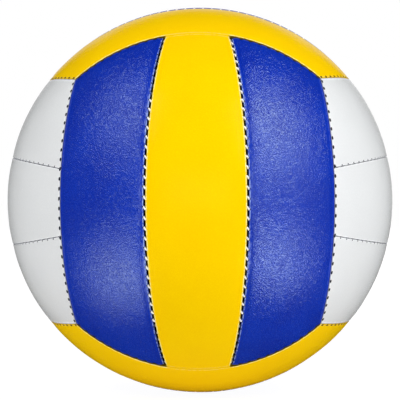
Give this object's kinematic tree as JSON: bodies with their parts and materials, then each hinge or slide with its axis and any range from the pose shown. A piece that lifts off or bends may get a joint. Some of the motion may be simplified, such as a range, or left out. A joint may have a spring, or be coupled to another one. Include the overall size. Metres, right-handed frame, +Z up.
{
  "type": "volleyball",
  "caption": "Machine-stitched indoor volleyball in blue, yellow and white strips, with foam-backed cover panels, an air bladder and a needle valve.",
  "frame": {"origin": "centre of the ball", "axes": "+Z up; -Y is the face with the upright blue, yellow and blue strips; +Y passes through the valve; +X to the right seen from the front"},
  "size_m": [0.21, 0.2099, 0.21],
  "materials": {
    "blue_cover": "semi-gloss grained synthetic leather",
    "yellow_cover": "semi-gloss grained synthetic leather",
    "white_cover": "semi-gloss grained synthetic leather",
    "backing_foam": "closed foam on woven cloth",
    "thread": "twisted polyester thread",
    "bladder_rubber": "matt butyl rubber",
    "valve_rubber": "smooth rubber",
    "plug_rubber": "smooth rubber",
    "patch_cloth": "plain woven cloth"
  },
  "bodies": {
    "root": {"front_left_panel": "blue_cover", "front_middle_panel": "yellow_cover", "front_right_panel": "blue_cover", "back_left_panel": "blue_cover", "back_middle_panel": "yellow_cover", "back_right_panel": "blue_cover", "right_lower_panel": "white_cover", "right_middle_panel": "white_cover", "right_upper_panel": "white_cover", "left_lower_panel": "white_cover", "left_middle_panel": "white_cover", "left_upper_panel": "white_cover", "top_front_panel": "yellow_cover", "top_middle_panel": "blue_cover", "top_rear_panel": "yellow_cover", "bottom_front_panel": "yellow_cover", "bottom_middle_panel": "blue_cover", "bottom_rear_panel": "yellow_cover", "front_left_backing": "backing_foam", "front_middle_backing": "backing_foam", "front_right_backing": "backing_foam", "back_left_backing": "backing_foam", "back_middle_backing": "backing_foam", "back_right_backing": "backing_foam", "right_lower_backing": "backing_foam", "right_middle_backing": "backing_foam", "right_upper_backing": "backing_foam", "left_lower_backing": "backing_foam", "left_middle_backing": "backing_foam", "left_upper_backing": "backing_foam", "top_front_backing": "backing_foam", "top_middle_backing": "backing_foam", "top_rear_backing": "backing_foam", "bottom_front_backing": "backing_foam", "bottom_middle_backing": "backing_foam", "bottom_rear_backing": "backing_foam", "front_seam_thread": "thread", "back_seam_thread": "thread", "right_seam_thread": "thread", "left_seam_thread": "thread", "top_seam_thread": "thread", "bottom_seam_thread": "thread", "bladder": "bladder_rubber", "valve_housing": "valve_rubber", "valve_plug": "plug_rubber", "valve_patch": "patch_cloth"}
  },
  "joints": []
}
